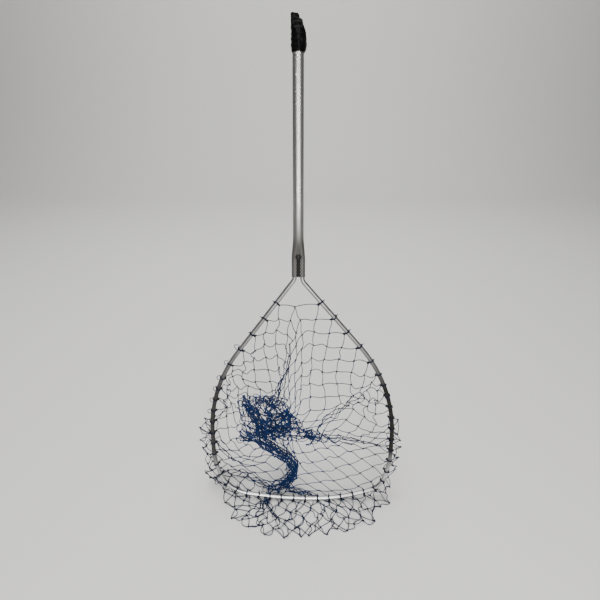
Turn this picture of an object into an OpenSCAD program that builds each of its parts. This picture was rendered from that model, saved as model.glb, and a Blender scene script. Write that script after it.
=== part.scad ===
// Landing net, leaning back as it stands at rest: a round aluminium handle, flattened at its
// lower end into a yoke that holds both legs of a bent hoop, and a knotted twine bag tied
// round the hoop with hitches.
//
// The origin is the middle of the hand grip, on the handle's axis. +Z is up, +X is to the
// right when looking into the mouth, and the net leans back towards +Y.
// Net coordinates run across the hoop, out of its plane and up along the handle.
// Floor coordinates have their zero on the floor, under the lowest point of the hoop.

/* [Handle] */
// Outside diameter of the handle tube
handle_d = 25.4; // [22:0.1:28]
// Wall of the handle tube
handle_wall = 1.25; // [0.8:0.05:2]
// Height of the yoke's mouth above the lowest point of the hoop's centreline
yoke_mouth = 622; // [560:1:640]
// Height of the handle's top end, along the handle
handle_top = 1148; // [1000:1:1200]
// Middle of the hand grip, along the handle
grip_height = 1080; // [900:1:1100]

/* [Yoke] */
// Width of the flattened yoke
yoke_w = 32.7; // [31.5:0.1:36]
// Length that is fully flattened
yoke_flat = 40; // [30:1:60]
// Length that changes from flat to round
yoke_taper = 58; // [40:1:90]
// Depth of the crease between the two hoop legs, as a share of the yoke's half thickness
crease_depth = 0.42; // [0:0.02:0.6]
// Height of the yoke rivet above the mouth
rivet_height = 48; // [40:1:48]
// Diameter of the yoke rivet's shank
rivet_d = 3.2; // [2:0.1:3.2]

/* [Hoop] */
// Outside diameter of the hoop tube
hoop_d = 11.1; // [9:0.1:11.5]
// Wall of the hoop tube
hoop_wall = 1.2; // [0.8:0.1:2]
// Height at which the legs start to bend outwards
bend_height = 620; // [600:1:640]
// How far the lowest point of the hoop is to the right of the handle
lowest_x = 43; // [0:1:60]
// Left half: widest reach from the handle's axis
left_reach = 226; // [200:1:250]
// Left half: angle of the straight arm from the handle
left_arm = 37.4; // [35:0.1:42]
// Right half: widest reach from the handle's axis
right_reach = 246; // [220:1:260]
// Right half: angle of the straight arm from the handle
right_arm = 40.7; // [38:0.1:43]

/* [Net] */
// Lean of the net from upright
lean = 11.3; // [5:0.1:15]
// Diameter of the net's twine
twine_d = 2; // [1.5:0.1:2.5]
// Distance between hitches along the hoop's arms
arm_pitch = 50; // [40:1:60]
// Distance between hitches along the rest of the hoop
hitch_pitch = 32; // [30:1:45]
// Thickness of one hanging layer of netting, with its knots
layer = 6; // [5:0.5:8]

/* [Hidden] */

$fn = 48;
hoop_r = hoop_d / 2;
handle_r = handle_d / 2;
twine_r = twine_d / 2;
// Gap that keeps a ring of twine off the hoop tube
twine_gap = 0.2;
// Height of the hoop's lowest centreline above the floor: it rests on its hitches
hoop_lift = hoop_r + twine_d + twine_gap;

aluminium = [0.78, 0.79, 0.8];
dull_aluminium = [0.6, 0.61, 0.63];
tape_black = [0.03, 0.03, 0.035];
twine_blue = [0.05, 0.1, 0.32];

// ---- Placing ----

grip_y = grip_height * sin(lean);
grip_z = hoop_lift + grip_height * cos(lean);

module on_floor() { translate([0, -grip_y, -grip_z]) children(); }

module on_net() { on_floor() translate([0, 0, hoop_lift]) rotate([-lean, 0, 0]) children(); }

// ---- The hoop's outline ----
// Each half is a leg, a bend, a straight arm, a shoulder arc, a straight side, a side arc,
// a corner arc and a bottom arc, all tangent. The arm, the side and the bottom arc close it.
// A half is [sign, reach, arm angle, bend radius, shoulder radius, side radius, side turn,
//            corner radius, bottom turn, run to the lowest point past the handle's axis]
leg_x = 9.4;
leg_splay = 2.5;
leg_length = 80;
LEFT = [-1, left_reach, left_arm, 15, 366, 215, 22, 100, 10, lowest_x];
RIGHT = [1, right_reach, right_arm, 24, 380, 250, 21, 59, 20, -lowest_x];

function arm_length(h) =
    (h[1] - leg_x - h[3] * (cos(leg_splay) - cos(h[2])) - h[4] * (1 - cos(h[2]))) / sin(h[2]);
function bottom_radius(h) =
    (h[1] + h[9] - h[5] * (1 - cos(h[6])) - h[7] * (cos(h[6]) - sin(h[8]))) / sin(h[8]);
// Height of the top of the side arc
function side_height(h) =
    h[5] * sin(h[6]) + h[7] * (cos(h[8]) - sin(h[6])) + bottom_radius(h) * (1 - cos(h[8]));
// Height of the middle of the shoulder arc
function shoulder_height(h) =
    bend_height - h[3] * (sin(h[2]) - sin(leg_splay)) - arm_length(h) * cos(h[2])
    - h[4] * sin(h[2]);

// The stretches of a half, from its bend to its lowest point: [length, first angle, last angle],
// where an angle is the direction of travel, 0 straight down and positive outwards
function stretches(h) = [
    [h[3] * (h[2] - leg_splay) * PI / 180, leg_splay, h[2]],
    [arm_length(h), h[2], h[2]],
    [h[4] * h[2] * PI / 180, h[2], 0],
    [shoulder_height(h) - side_height(h), 0, 0],
    [h[5] * h[6] * PI / 180, 0, -h[6]],
    [h[7] * (90 - h[8] - h[6]) * PI / 180, -h[6], h[8] - 90],
    [bottom_radius(h) * h[8] * PI / 180, h[8] - 90, -90]];

// [outwards, upwards] travelled along the first d of a stretch
function travel(st, d) =
    let(a = st[1], b = st[1] + (st[2] - st[1]) * d / st[0],
        r = st[2] == st[1] ? 0 : st[0] * 180 / PI / (st[2] - st[1]))
    st[2] == st[1] ? [d * sin(a), -d * cos(a)] : [r * (cos(a) - cos(b)), r * (sin(a) - sin(b))];

// [outwards, height, direction] at distance d along a half, from the start of its bend
function along(h, d, i = 0, at = [leg_x, bend_height]) =
    let(st = stretches(h)[i])
    d <= st[0] || i == 6
        ? concat(at + travel(st, d), [st[1] + (st[2] - st[1]) * d / st[0]])
        : along(h, d - st[0], i + 1, at + travel(st, st[0]));

// Half width of the hoop at a height on its straight arm or shoulder arc
function reach_at(h, s) =
    let(mid = shoulder_height(h), rise = s - mid, r = h[4])
    rise < r * sin(h[2])
        ? h[1] - r + sqrt(r * r - pow(max(rise, 0), 2))
        : h[1] - r * (1 - cos(h[2])) - (rise - r * sin(h[2])) * tan(h[2]);
// Height on the straight arm or shoulder arc at a distance from the handle's axis
function height_at(h, x) =
    let(r = h[4], knee = h[1] - r * (1 - cos(h[2])), mid = shoulder_height(h))
    x < knee
        ? mid + r * sin(h[2]) + (knee - x) / tan(h[2])
        : mid + sqrt(max(0, r * r - pow(x - h[1] + r, 2)));

// ---- General shapes ----

// A tube or ring along +Z, from z0 to z1
module pipe(r_out, r_in, z0, z1) {
    translate([0, 0, z0]) difference() {
        cylinder(r = r_out, h = z1 - z0);
        translate([0, 0, -1]) cylinder(r = r_in, h = z1 - z0 + 2);
    }
}

// Faces between successive rings of n points, from ring 0 to ring last
function skin(n, last) =
    [for (i = [0:last - 1], k = [0:n - 1])
        [i * n + k, (i + 1) * n + k, (i + 1) * n + (k + 1) % n, i * n + (k + 1) % n]];

// A solid loft through rings of points, each ring a list of the same length
module loft(rings) {
    n = len(rings[0]);
    last = len(rings) - 1;
    polyhedron(
        points = [for (ring = rings) each ring],
        faces = concat([[for (k = [0:n - 1]) k]], skin(n, last),
                       [[for (k = [n - 1:-1:0]) last * n + k]]),
        convexity = 6);
}

// A hollow loft: the outside's rings one way, the inside's rings back, and round again
module hollow_loft(outside, inside) {
    n = len(outside[0]);
    count = len(outside);
    back = [for (i = [count - 1:-1:0]) inside[i]];
    rings = concat(outside, back, [outside[0]]);
    polyhedron(
        points = [for (i = [0:2 * count - 1]) each rings[i]],
        faces = [for (f = skin(n, 2 * count)) [for (v = f) v % (2 * count * n)]],
        convexity = 10);
}

// The ring of a round tube at point i of its path
function unit(v) = v / norm(v);
function tangent(path, i) =
    unit(path[min(i + 1, len(path) - 1)] - path[max(i - 1, 0)]);
function sweep_ring(path, i, r, sides, side_axis) =
    let(t = tangent(path, i), u = unit(cross(side_axis, t)), v = cross(t, u))
    [for (k = [0:sides - 1])
        path[i] + r * (u * cos(360 * k / sides) + v * sin(360 * k / sides))];
function sweep_rings(path, r, sides, side_axis) =
    [for (i = [0:len(path) - 1]) sweep_ring(path, i, r, sides, side_axis)];

// ---- Handle and yoke ----

// Half thickness of the yoke over a hoop leg
yoke_r = hoop_r + handle_wall + 0.15;
yoke_lobe = yoke_w / 2 - yoke_r;
yoke_top = yoke_mouth + yoke_flat + yoke_taper;
crease_w = 3.4;
// The taper's end stands this far inside the round tube's surface, so that the two join squarely
seam = 0.24;

function smooth(t) = t * t * (3 - 2 * t);
// 1 in the flattened length and 0 where the tube is round
function flatness(s) =
    let(t = (yoke_top - s) / yoke_taper)
    t >= 1 ? 1 : t <= 0 ? 0 : smooth(t);
// A point of the flattened outline, inset from the outside: half a circle round each leg and
// a top and bottom between them that dip into the crease
flat_share = 0.35;
function flat_point(a, inset) =
    let(r = yoke_r - inset, c = cos(a), between = max(-1, min(1, c / flat_share)),
        round_it = sign(c) * max(0, abs(c) - flat_share) / (1 - flat_share),
        x = r * round_it + yoke_lobe * between,
        waist = 1 - crease_depth * exp(-pow(x / crease_w, 2)))
    [x, sign(sin(a)) * r * sqrt(1 - round_it * round_it) * waist];
function round_point(a, inset) =
    (handle_r - inset + (inset > 0 ? seam / 2 : -seam)) * [cos(a), sin(a)];
function yoke_ring(s, inset, sides) =
    [for (k = [0:sides - 1])
        let(a = 360 * k / sides, f = flatness(s),
            p = f * flat_point(a, inset) + (1 - f) * round_point(a, inset))
        [p[0], p[1], s]];

function yoke_rings(inset) =
    let(steps = 16, sides = 56)
    [for (i = [0:steps]) yoke_ring(yoke_mouth + (yoke_top - yoke_mouth) * i / steps, inset, sides)];

module handle_tube() {
    color(aluminium) on_net() {
        difference() {
            pipe(handle_r, handle_r - handle_wall, yoke_top, handle_top);
            plug_rivet_hole();
        }
        difference() {
            hollow_loft(yoke_rings(0), yoke_rings(handle_wall));
            translate([0, handle_r, yoke_mouth + rivet_height]) rotate([90, 0, 0])
                cylinder(d = rivet_d + 0.2, h = handle_d);
        }
    }
}

// A rivet along Y at a height on the handle, with a domed head at each end
module cross_rivet(height, shank_d, reach, head_d, head_h) {
    translate([0, 0, height]) rotate([90, 0, 0]) {
        cylinder(d = shank_d, h = 2 * reach, center = true);
        for (end = [-1, 1])
            translate([0, 0, end * (reach + head_h / 2)]) cylinder(d = head_d, h = head_h, center = true);
    }
}

// The rivet's heads bridge the crease, over the two hoop legs
module yoke_rivet() {
    s = yoke_mouth + rivet_height;
    color(dull_aluminium) on_net() cross_rivet(s, rivet_d, yoke_r + 0.1, 7, 1.2);
}

// ---- Butt ----

tape_low = 1107;
tape_top = 1164;
tape_shift = 0.9;
plug_rivet_height = 1062;
plug_rivet_x = -3.6;
plug_rivet_d = 3.2;
plug_r = handle_r - handle_wall - 0.1;
plug_wall = 3;

// The hole that the plug's rivet goes through
module plug_rivet_hole() {
    translate([plug_rivet_x, 0, plug_rivet_height]) rotate([90, 0, 0])
        cylinder(d = plug_rivet_d + 0.2, h = handle_r + 1);
}

// A hollow plug that closes the handle's end
module butt_plug() {
    plug_low = plug_rivet_height - 12;
    color(tape_black) on_net() difference() {
        union() {
            translate([0, 0, plug_low]) cylinder(r = plug_r, h = handle_top - plug_low);
            translate([0, 0, handle_top]) cylinder(r = handle_r, h = 2);
        }
        translate([0, 0, plug_low - 1])
            cylinder(r = plug_r - plug_wall, h = handle_top - plug_low - 2);
        plug_rivet_hole();
    }
}

// The blind rivet that holds the plug, in the bare tube just below the tape
module butt_plug_rivet() {
    seat = handle_r - 0.35;
    shank = 5;
    color(dull_aluminium) on_net() translate([plug_rivet_x, 0, plug_rivet_height])
        rotate([90, 0, 0]) {
            translate([0, 0, seat - shank]) cylinder(d = plug_rivet_d, h = shank);
            difference() {
                translate([0, 0, seat - 1]) cylinder(d = 5.4, h = 2.1);
                translate([-plug_rivet_x, 0, 0]) rotate([90, 0, 0])
                    cylinder(r = handle_r + 0.05, h = 12, center = true);
            }
        }
}

// The tape's winding: neat at its lower edge, thickest a little above it and to one side
module butt_tape_wrap() {
    clearance = 0.1;
    color(tape_black) on_net() difference() {
        translate([tape_shift, 0, 0]) rotate_extrude()
            polygon([
                [0, tape_low], [14.2, tape_low], [15, tape_low + 5], [16.2, tape_low + 13],
                [16, tape_low + 26], [15, tape_low + 39], [14.6, tape_low + 45],
                [11.6, tape_top - 4], [9.8, tape_top], [0, tape_top]]);
        translate([0, 0, tape_low - 1])
            cylinder(r = handle_r + clearance, h = handle_top + 2 + clearance - tape_low + 1);
    }
}

// The end of the tape, pinched flat over the top and leaning to one side
module butt_tape_fold() {
    color(tape_black) on_net() hull() {
        translate([-2, -2, tape_top + 1.1]) cylinder(r = 9.5, h = 2, $fn = 32);
        translate([-9.7, 0, tape_top + 15]) sphere(r = 4.4, $fn = 28);
        translate([-3.2, 2, tape_top + 11]) sphere(r = 3.5, $fn = 28);
    }
}

// ---- Hoop ----

// The turn whose chord leaves an arc of radius r by chord_error
chord_error = 0.08;
function chord_turn(r) = 2 * acos(1 - chord_error / r);

// The centreline of a half, from the end of its leg to its lowest point
function half_path(h) =
    let(list = stretches(h))
    concat(
        [[leg_x - leg_length * sin(leg_splay), bend_height + leg_length * cos(leg_splay)],
         [leg_x, bend_height]],
        [for (i = [0:6])
            let(before = length_to(h, i - 1), turn = abs(list[i][2] - list[i][1]),
                steps = turn == 0 ? 1 : ceil(turn / chord_turn(list[i][0] * 180 / PI / turn)))
            for (j = [1:steps])
                let(at = along(h, before + list[i][0] * j / steps)) [at[0], at[1]]]);
// Length of a half's stretches up to and including stretch i
function length_to(h, i) = i < 0 ? 0 : stretches(h)[i][0] + length_to(h, i - 1);

// The whole centreline, from the end of the left leg to the end of the right leg
function hoop_path() =
    let(left = half_path(LEFT), right = half_path(RIGHT))
    concat([for (p = left) [-p[0], 0, p[1]]],
           [for (i = [len(right) - 2:-1:0]) [right[i][0], 0, right[i][1]]]);

module hoop_tube() {
    sides = 16;
    path = hoop_path();
    color(dull_aluminium) on_net()
        hollow_loft(sweep_rings(path, hoop_r, sides, [0, 1, 0]),
                    sweep_rings(path, hoop_r - hoop_wall, sides, [0, 1, 0]));
}

// ---- Hitches round the hoop ----

first_hitch = 78;
arm_hitches = 5;
shoulder_hitch = 320;

// Distances of the hitches along a half: widely spaced on the arm, closer from the shoulder on
function hitch_places(h) =
    concat([for (i = [0:arm_hitches - 1]) first_hitch + i * arm_pitch],
           [for (d = [shoulder_hitch:hitch_pitch:length_to(h, 6)]) d]);

// One turn of twine round the tube, with its knot on the outside of the hoop
module hitch() {
    rotate_extrude() translate([hoop_r + twine_gap + twine_r, 0]) circle(r = twine_r, $fn = 20);
    translate([hoop_r + twine_gap + twine_d, 0, 0]) sphere(r = 1.1 * twine_d, $fn = 24);
}

// The hitches of a half whose distances along it are between two values
module hitches(h, from, to) {
    color(twine_blue) on_net() mirror([h[0] < 0 ? 1 : 0, 0, 0])
        for (d = hitch_places(h)) {
            at = along(h, d);
            // On the bottom the knots sit behind the tube, clear of the floor
            knot_turn = at[2] < -60 ? 90 : 0;
            if (d >= from && d < to)
                translate([at[0], 0, at[1]]) rotate([0, -at[2], 0]) rotate([0, 0, knot_turn]) hitch();
        }
}

arm_end = 300;
side_end = 640;
module rim_hitches_left_arm() { hitches(LEFT, 0, arm_end); }
module rim_hitches_left_side() { hitches(LEFT, arm_end, side_end); }
module rim_hitches_bottom_left() { hitches(LEFT, side_end, 2000); }
module rim_hitches_bottom_right() { hitches(RIGHT, side_end, 2000); }
module rim_hitches_right_side() { hitches(RIGHT, arm_end, side_end); }
module rim_hitches_right_arm() { hitches(RIGHT, 0, arm_end); }

// A strand that crosses from arm to arm below the yoke, between the first hitches
module top_bridge_twine() {
    left = bridge_end(LEFT);
    right = bridge_end(RIGHT);
    sag = 9;
    path = [for (i = [0:12]) let(t = i / 12)
        left + t * (right - left) - [0, 0, 4 * sag * t * (1 - t)]];
    color(twine_blue) on_net() loft(sweep_rings(path, twine_r, 8, [0, 1, 0]));
}
// Just inside the arm at its first hitch
function bridge_end(h) =
    let(at = along(h, first_hitch), off = hoop_lift + twine_d)
    [h[0] * (at[0] - off * cos(at[2])), 0, at[1] - off * sin(at[2])];

// ---- Netting ----
// The bag is one knotted net. It hangs from the hoop, gathers in folds behind the mouth and
// runs out under the bottom bar, so it is divided at its folds into simple solids.

panel_top = 545;
panel_low = 293;
panel_inset = 14;
panel_rows = 10;

// The panel hangs straight down from the two arms, so from above it is a wide V
panel_span = 120;
function hang_y(x) = sin(lean) * height_at(x < 0 ? LEFT : RIGHT, abs(x) + 4);
// Half width of the panel's left or right side at a height above the floor
function panel_reach(h, z) = reach_at(h, (z - hoop_lift) / cos(lean)) - panel_inset;

module net_back_panel() {
    apex = hang_y(0) + 2;
    left = (hang_y(-panel_span) + 2 - apex) / panel_span;
    right = (hang_y(panel_span) + 2 - apex) / panel_span;
    width = 2 * panel_span;
    heights = [for (i = [0:panel_rows]) panel_low + (panel_top - panel_low) * i / panel_rows];
    color(twine_blue) on_floor() intersection() {
        linear_extrude(panel_top + 1) polygon([
            [-width, apex + left * width], [0, apex], [width, apex + right * width],
            [width, apex + right * width + layer], [0, apex + layer],
            [-width, apex + left * width + layer]]);
        translate([0, 2 * apex, 0]) rotate([90, 0, 0]) linear_extrude(2 * apex) polygon(concat(
            [for (z = heights) [panel_reach(RIGHT, z), z]],
            [for (i = [panel_rows:-1:0]) [-panel_reach(LEFT, heights[i]), heights[i]]]));
    }
}

// A rounded slab between rows of balls
module padded_slab(balls, r) {
    hull() for (p = balls) translate(p) sphere(r = r, $fn = 24);
}

module net_gathered_folds() {
    color(twine_blue) on_floor()
        padded_slab([[-152, 92, 250], [-95, 94, 272], [-40, 96, 262], [-150, 78, 150],
                     [-60, 72, 122], [0, 82, 200]], 18);
}

module net_right_sag() {
    color(twine_blue) on_floor()
        padded_slab([[26, 90, 284], [208, 84, 284], [26, 76, 124], [222, 60, 96], [140, 66, 30]], 6);
}

module net_left_sag() {
    color(twine_blue) on_floor()
        padded_slab([[-196, 84, 284], [-178, 88, 284], [-206, 58, 60], [-180, 64, 60]], 6);
}

module net_left_bulge() {
    color(twine_blue) on_floor()
        padded_slab([[-244, 58, 230], [-262, 52, 130], [-268, 60, 90], [-252, 84, 120]], 8);
}

module net_right_bulge() {
    color(twine_blue) on_floor()
        padded_slab([[270, 16, 8], [286, 60, 8], [272, 92, 8], [266, 50, 96]], 8);
}

// The gathered end of the bag: a twisted rope of netting that runs out under the bottom bar
tail_route = [[-36, 42, 98], [-22, 36, 88], [-6, 32, 78], [0, 31, 68], [-8, 30, 58],
              [-24, 29, 48], [-42, 28, 38], [-58, 26, 28], [-68, 23, 19], [-72, 19, 15]];
tail_r = 11;
module net_twisted_tail() {
    color(twine_blue) on_floor() loft(sweep_rings(tail_route, tail_r, 12, [0, 1, 0]));
}

// The part of the bag that lies on the floor in front of the bottom bar
apron_mid = 34;
apron_half = 258;
apron_reach = 130;
apron_back = 11;
module net_front_apron() {
    height = 14;
    steps = 24;
    back_half = acos(apron_back / apron_reach);
    color(twine_blue) on_floor() linear_extrude(height)
        polygon([for (k = [-steps:steps]) let(a = back_half * k / steps)
            [apron_mid + apron_half * sin(a), -apron_reach * cos(a)]]);
}

handle_tube();
yoke_rivet();
hoop_tube();
butt_plug();
butt_plug_rivet();
butt_tape_wrap();
butt_tape_fold();
rim_hitches_left_arm();
rim_hitches_left_side();
rim_hitches_bottom_left();
rim_hitches_bottom_right();
rim_hitches_right_side();
rim_hitches_right_arm();
top_bridge_twine();
net_back_panel();
net_gathered_folds();
net_left_sag();
net_right_sag();
net_left_bulge();
net_right_bulge();
net_twisted_tail();
net_front_apron();
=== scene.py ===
"""A landing net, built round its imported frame: embossed handle, bent hoop, taped butt and a
knotted twine bag that hangs from the hoop, gathers in a twist and lies out over the floor."""

import math

import bpy
import numpy as np
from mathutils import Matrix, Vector


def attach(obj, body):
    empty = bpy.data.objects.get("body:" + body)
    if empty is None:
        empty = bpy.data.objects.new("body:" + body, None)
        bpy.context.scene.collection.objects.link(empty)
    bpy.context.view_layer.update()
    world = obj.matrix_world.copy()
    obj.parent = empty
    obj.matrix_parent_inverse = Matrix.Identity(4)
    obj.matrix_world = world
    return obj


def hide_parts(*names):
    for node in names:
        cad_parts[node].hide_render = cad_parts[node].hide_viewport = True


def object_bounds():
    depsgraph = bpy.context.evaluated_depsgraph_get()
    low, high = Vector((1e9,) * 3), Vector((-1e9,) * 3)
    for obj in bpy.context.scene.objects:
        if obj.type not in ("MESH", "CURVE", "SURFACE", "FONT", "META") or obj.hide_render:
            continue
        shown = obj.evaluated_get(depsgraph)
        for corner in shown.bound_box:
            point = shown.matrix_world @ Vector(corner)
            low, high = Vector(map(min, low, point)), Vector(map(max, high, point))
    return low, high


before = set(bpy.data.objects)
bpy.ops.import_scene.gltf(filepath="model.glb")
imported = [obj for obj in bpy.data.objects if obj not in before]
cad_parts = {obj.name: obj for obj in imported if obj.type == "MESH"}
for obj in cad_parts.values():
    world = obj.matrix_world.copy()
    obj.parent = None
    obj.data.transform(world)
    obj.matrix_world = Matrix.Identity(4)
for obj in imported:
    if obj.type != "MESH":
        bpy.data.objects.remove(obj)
CAD_BOX = [list(corner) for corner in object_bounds()]

MM = 0.001

# ---- Places, in millimetres, as in the part's own source ----
# Net coordinates are (x across the hoop, depth behind its plane, s along the handle).
# Floor coordinates have their zero on the floor, under the lowest point of the hoop.

LEAN = math.radians(11.3)
HOOP_R = 5.55
TWINE_R = 1.0
HOOP_LIFT = 7.75
GRIP_HEIGHT = 1080.0
GRIP = np.array([0.0, GRIP_HEIGHT * math.sin(LEAN), HOOP_LIFT + GRIP_HEIGHT * math.cos(LEAN)])


def from_net(points):
    """Net coordinates to floor coordinates."""
    p = np.asarray(points, float)
    c, s = math.cos(LEAN), math.sin(LEAN)
    return np.stack([p[..., 0], p[..., 1] * c + p[..., 2] * s,
                     HOOP_LIFT - p[..., 1] * s + p[..., 2] * c], -1)


def to_row(points):
    """Floor coordinates in millimetres to the row's frame in metres."""
    return (np.asarray(points, float) - GRIP) * MM


# ---- Camera and stage ----

CAMERA_PLACE = (0.0039, -1.0822, -0.0227)
CAMERA_LENS = 27.0
CAMERA_DOWN = 26.2


def make_camera():
    """A camera in front of the net, about as high as its grip and looking down at the hoop."""
    data = bpy.data.cameras.new("camera")
    data.sensor_width = 36
    data.lens = CAMERA_LENS
    data.clip_start = 0.01
    cam = bpy.data.objects.new("camera", data)
    cam.location = CAMERA_PLACE
    cam.rotation_euler = (math.radians(90 - CAMERA_DOWN), 0, 0)
    bpy.context.collection.objects.link(cam)
    bpy.context.scene.camera = cam


def area_light(name, place, aim, size, power, colour):
    """A soft rectangular light at a place, turned to face its aim."""
    data = bpy.data.lights.new(name, "AREA")
    data.shape = "RECTANGLE"
    data.size, data.size_y = size
    data.energy = power
    data.color = colour
    light = bpy.data.objects.new(name, data)
    light.location = place
    to_aim = Vector(aim) - Vector(place)
    light.rotation_euler = to_aim.to_track_quat("-Z", "Y").to_euler()
    bpy.context.collection.objects.link(light)


def make_stage():
    """A pale floor that curves up into a pale backdrop far behind, and soft lights."""
    half, front, back, bend, top, steps = 4.4, -7.0, 3.2, 1.6, 5.0, 24
    z = CAD_BOX[0][2]
    profile = [(front, z), (back, z)]
    for i in range(1, steps + 1):
        turn = math.pi / 2 * i / steps
        profile.append((back + bend * math.sin(turn), z + bend * (1 - math.cos(turn))))
    profile.append((back + bend, z + top))
    verts = [(x, y, height) for y, height in profile for x in (-half, half)]
    faces = [(2 * i, 2 * i + 1, 2 * i + 3, 2 * i + 2) for i in range(len(profile) - 1)]
    mesh = bpy.data.meshes.new("floor")
    mesh.from_pydata(verts, [], faces)
    mesh.polygons.foreach_set("use_smooth", [True] * len(faces))
    floor = bpy.data.objects.new("floor", mesh)
    bpy.context.collection.objects.link(floor)
    pale = Nodes("floor_pale", roughness=0.85)
    pale.set("Base Color", (0.80, 0.79, 0.77))
    pale.set("Specular IOR Level", 0.2)
    mesh.materials.append(pale.mat)
    world = bpy.data.worlds.new("studio")
    world.use_nodes = True
    background = world.node_tree.nodes["Background"]
    background.inputs["Color"].default_value = (0.86, 0.88, 0.92, 1)
    background.inputs["Strength"].default_value = 0.16
    bpy.context.scene.world = world
    area_light("key", (0.30, -2.6, 0.35), (0, 0, -0.4), (0.6, 2.2), 78, (1.0, 0.99, 0.97))
    area_light("top", (-0.4, -0.3, 2.4), (0, 0.3, -1.0), (2.6, 2.6), 95, (1.0, 1.0, 1.0))
    area_light("backdrop", (0.0, 1.6, 2.6), (0, 4.2, -0.4), (3.5, 1.2), 90, (1.0, 1.0, 1.0))


# ---- Materials ----

class Nodes:
    """A material, with short calls for the nodes that the materials share."""

    def __init__(self, name, metallic=0.0, roughness=0.5):
        self.mat = bpy.data.materials.new(name)
        self.mat.use_nodes = True
        self.nodes, self.links = self.mat.node_tree.nodes, self.mat.node_tree.links
        self.shader = self.nodes["Principled BSDF"]
        self.set("Metallic", metallic)
        self.set("Roughness", roughness)
        self.coords = self.nodes.new("ShaderNodeTexCoord").outputs["Object"]

    def put(self, socket, value):
        """Sets a socket to a number or a colour, or links another node's output to it."""
        if isinstance(value, (int, float)):
            socket.default_value = value
        elif isinstance(value, tuple):
            socket.default_value = (*value, 1)
        else:
            self.links.new(value, socket)

    def noise(self, scale, detail=3.0, vector=None, roughness=0.5):
        node = self.nodes.new("ShaderNodeTexNoise")
        node.inputs["Scale"].default_value = scale
        node.inputs["Detail"].default_value = detail
        node.inputs["Roughness"].default_value = roughness
        self.links.new(self.coords if vector is None else vector, node.inputs["Vector"])
        return node.outputs["Fac"]

    def attribute(self, name):
        node = self.nodes.new("ShaderNodeAttribute")
        node.attribute_name = name
        return node.outputs["Fac"]

    def math(self, operation, a, b=0.0):
        node = self.nodes.new("ShaderNodeMath")
        node.operation = operation
        for socket, value in zip(node.inputs, (a, b)):
            self.put(socket, value)
        return node.outputs[0]

    def combine(self, x, y, z):
        node = self.nodes.new("ShaderNodeCombineXYZ")
        for socket, value in zip(node.inputs, (x, y, z)):
            self.put(socket, value)
        return node.outputs[0]

    def mask(self, factor, low, high):
        """0 where factor is under low, 1 where it is over high, and a blend between them."""
        node = self.nodes.new("ShaderNodeValToRGB")
        black, white = node.color_ramp.elements
        black.position, white.position = low, high
        self.links.new(factor, node.inputs["Fac"])
        return node.outputs["Color"]

    def mix(self, factor, a, b):
        """Colour a at factor 0, and colour b at factor 1."""
        node = self.nodes.new("ShaderNodeMix")
        node.data_type = "RGBA"
        for socket, value in zip((node.inputs[0], node.inputs[6], node.inputs[7]), (factor, a, b)):
            self.put(socket, value)
        return node.outputs[2]

    def spread(self, factor, low, high):
        """A value from low to high as factor goes from 0 to 1."""
        node = self.nodes.new("ShaderNodeMapRange")
        node.inputs["To Min"].default_value = low
        node.inputs["To Max"].default_value = high
        self.links.new(factor, node.inputs["Value"])
        return node.outputs["Result"]

    def set(self, name, value):
        self.put(self.shader.inputs[name], value)

    def bump(self, height, distance, strength=1.0):
        node = self.nodes.new("ShaderNodeBump")
        node.inputs["Distance"].default_value = distance
        node.inputs["Strength"].default_value = strength
        self.links.new(height, node.inputs["Height"])
        self.set("Normal", node.outputs["Normal"])


# How far along the twine its yarns go once round, in metres
TWINE_LAY = 0.0042


def twine_material(name, dark, bright):
    """Twisted twine: a helical lay along each strand with painted shade in its grooves, dyed unevenly,
    and darker where 'deep' is low, as painted shade on the upper strands.
    """
    m = Nodes(name, roughness=0.55)
    lay = m.math("ADD", m.math("MULTIPLY", m.attribute("along"), 1 / TWINE_LAY), m.attribute("around"))
    strand = m.math("SINE", m.math("MULTIPLY", lay, 2 * math.pi))
    groove = m.math("MULTIPLY", m.math("ADD", strand, 1.0), 0.5)
    # darker towards the hoop, where 'deep' is low: painted shade
    tone = m.mix(m.attribute("deep"), dark, bright)
    tone = m.mix(m.math("MULTIPLY", m.noise(26.0), 0.5), tone, dark)
    # painted shade in the grooves between the yarns
    tone = m.mix(m.math("MULTIPLY", m.math("SUBTRACT", 1.0, groove), 0.55), tone,
                 tuple(0.35 * c for c in dark))
    m.set("Base Color", tone)
    m.set("Roughness", m.spread(m.noise(900.0, 2.0), 0.42, 0.72))
    m.bump(m.math("ADD", m.math("MULTIPLY", groove, 0.8), m.math("MULTIPLY", m.noise(2600.0), 0.3)),
           0.0005, 0.8)
    m.set("Specular IOR Level", 0.2)
    return m.mat


# The near black that the tubes are darkened towards, as painted shade
DARK_TONE = (0.018, 0.017, 0.016)


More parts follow.
